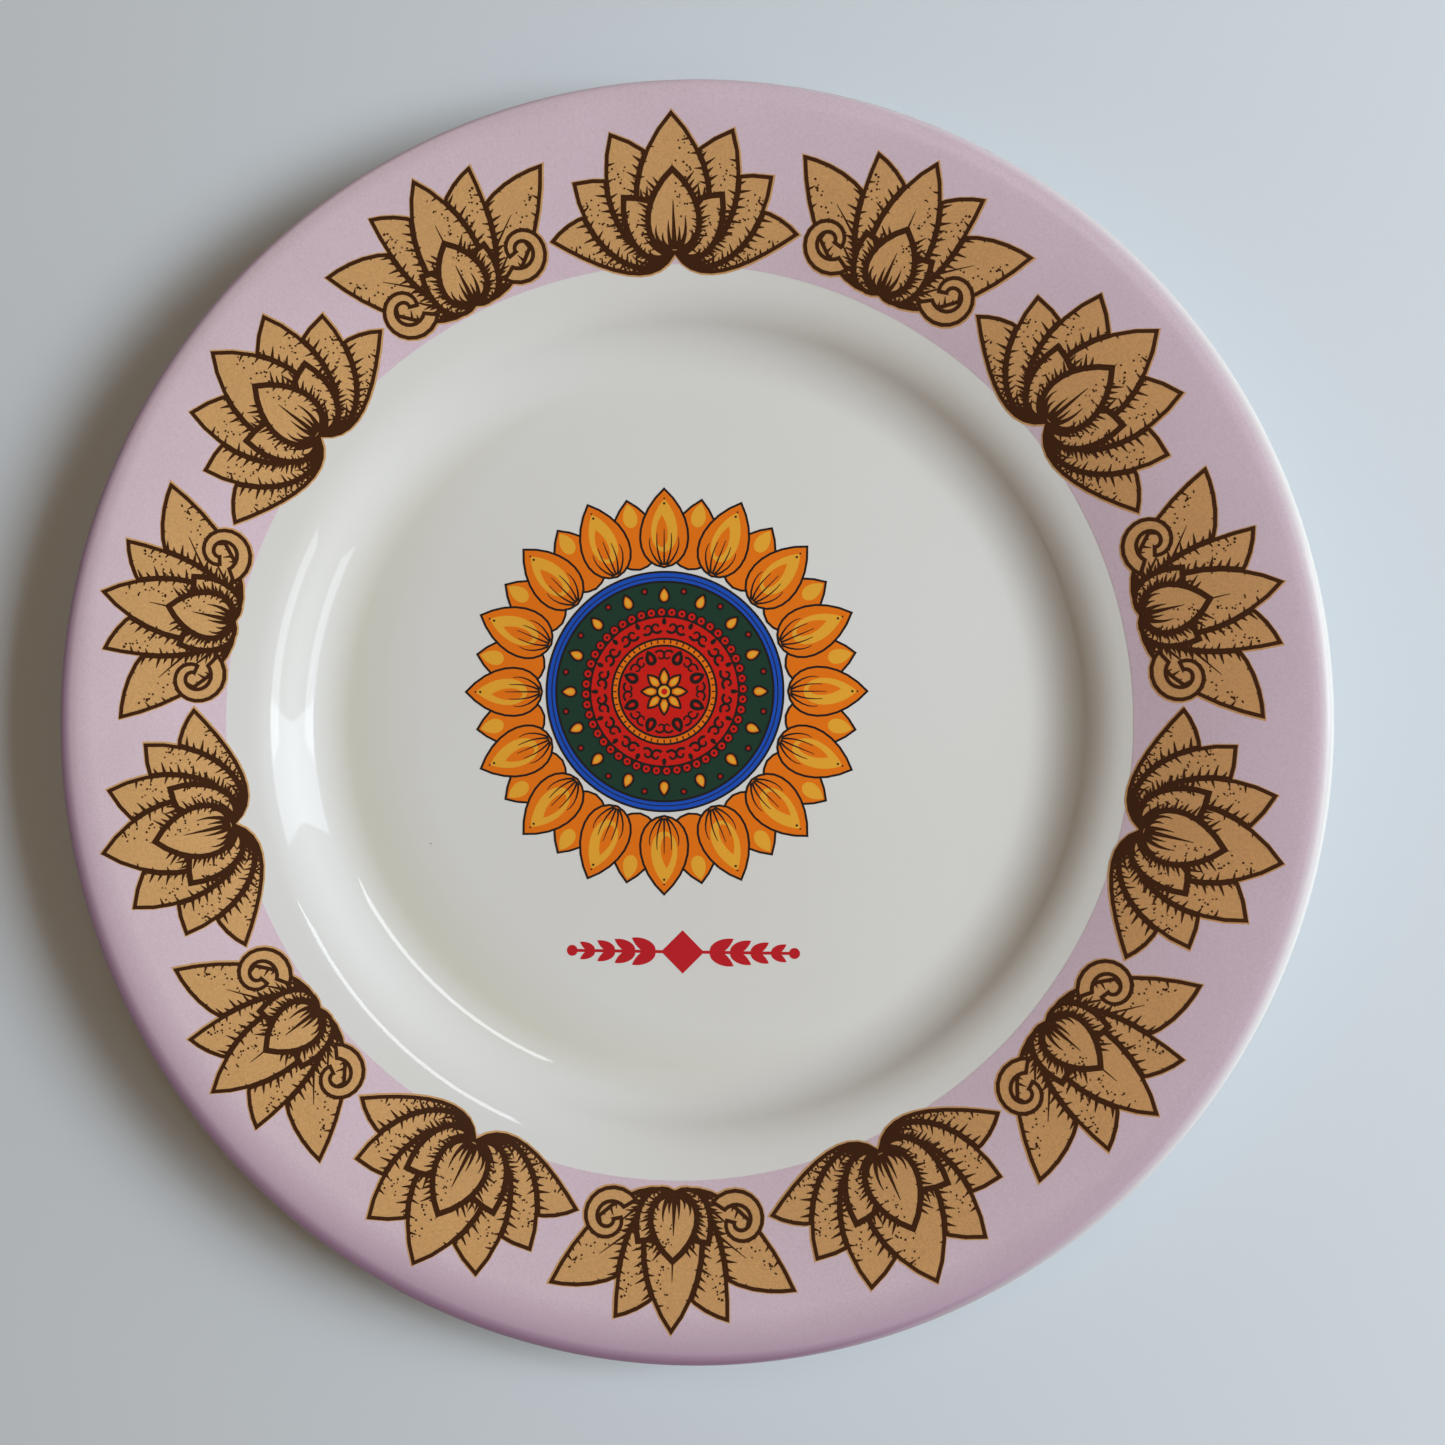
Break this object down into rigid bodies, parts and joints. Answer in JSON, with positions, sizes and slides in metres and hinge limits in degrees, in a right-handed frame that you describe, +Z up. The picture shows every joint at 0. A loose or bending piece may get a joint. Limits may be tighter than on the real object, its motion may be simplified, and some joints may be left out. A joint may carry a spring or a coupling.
{
  "type": "souvenir plate",
  "caption": "Round rimmed porcelain plate on a foot ring, with a shallow well, a lilac rim band with an ochre lotus border, and a petalled medallion on the floor.",
  "frame": {"origin": "on the plate's axis, in the plane of the foot ring's bearing edge", "axes": "+Z up along the plate's axis, out of the decorated face; +Y towards the top of the medallion; +X to its right"},
  "size_m": [0.2, 0.2, 0.0202],
  "materials": {
    "porcelain": "bare fired porcelain, matt",
    "face_glaze": "clear gloss glaze over cream-white porcelain",
    "base_glaze": "clear gloss glaze over cream-white porcelain",
    "lilac_ink": "satin pearly lilac print with fine grain",
    "ochre_ink": "satin ochre print with fine grain",
    "brown_ink": "satin dark brown print",
    "orange_ink": "gloss orange print",
    "yellow_ink": "gloss golden yellow print",
    "green_ink": "gloss dark green print",
    "blue_ink": "gloss blue print",
    "red_ink": "gloss red print",
    "black_ink": "gloss black print",
    "sprig_ink": "gloss red print"
  },
  "bodies": {
    "root": {"body": "porcelain", "face_glaze": "face_glaze", "base_glaze": "base_glaze", "rim_band": "lilac_ink", "border_ochre": "ochre_ink", "border_brown": "brown_ink", "medallion_orange": "orange_ink", "medallion_yellow": "yellow_ink", "medallion_green": "green_ink", "medallion_blue": "blue_ink", "medallion_red": "red_ink", "medallion_black": "black_ink", "sprig_red": "sprig_ink"}
  },
  "joints": []
}
